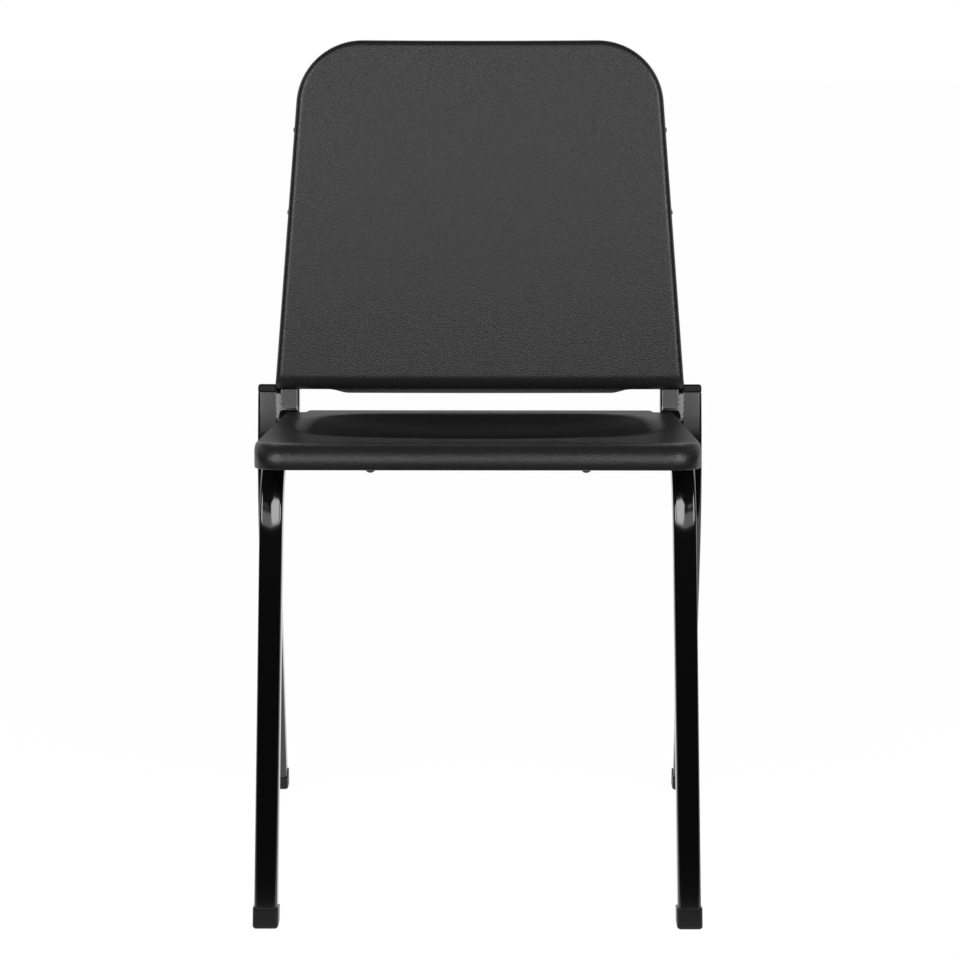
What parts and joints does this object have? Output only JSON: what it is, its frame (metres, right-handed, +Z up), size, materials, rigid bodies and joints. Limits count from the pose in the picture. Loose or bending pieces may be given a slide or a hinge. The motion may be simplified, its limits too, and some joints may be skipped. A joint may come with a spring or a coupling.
{
  "type": "choir chair",
  "caption": "Armless stacking chair for choirs and music rooms: black moulded seat and back shells on a bent square steel tube frame with rear legs welded alongside.",
  "frame": {"origin": "middle of the chair's footprint, on the floor", "axes": "+X to the right of someone facing the chair, +Y from its front to its back, +Z up"},
  "size_m": [0.4842, 0.5196, 0.8393],
  "materials": {
    "shell": "fine leather grain, satin",
    "frame": "gloss powder coat",
    "weld": "powder coat over a rippled bead",
    "foot_cap": "matt",
    "plug": "fine texture",
    "screw": "black oxide, satin"
  },
  "bodies": {
    "root": {"seat_shell": "shell", "back_shell": "shell", "left_side_tube": "frame", "right_side_tube": "frame", "left_rear_leg": "frame", "right_rear_leg": "frame", "front_cross_tube": "frame", "rear_cross_tube": "frame", "left_leg_weld": "weld", "right_leg_weld": "weld", "cross_tube_welds": "weld", "front_left_foot_cap": "foot_cap", "front_right_foot_cap": "foot_cap", "rear_left_foot_cap": "foot_cap", "rear_right_foot_cap": "foot_cap", "left_leg_plug": "plug", "right_leg_plug": "plug", "front_seat_screws": "screw", "rear_seat_screws": "screw", "left_back_screws": "screw", "right_back_screws": "screw"}
  },
  "joints": []
}
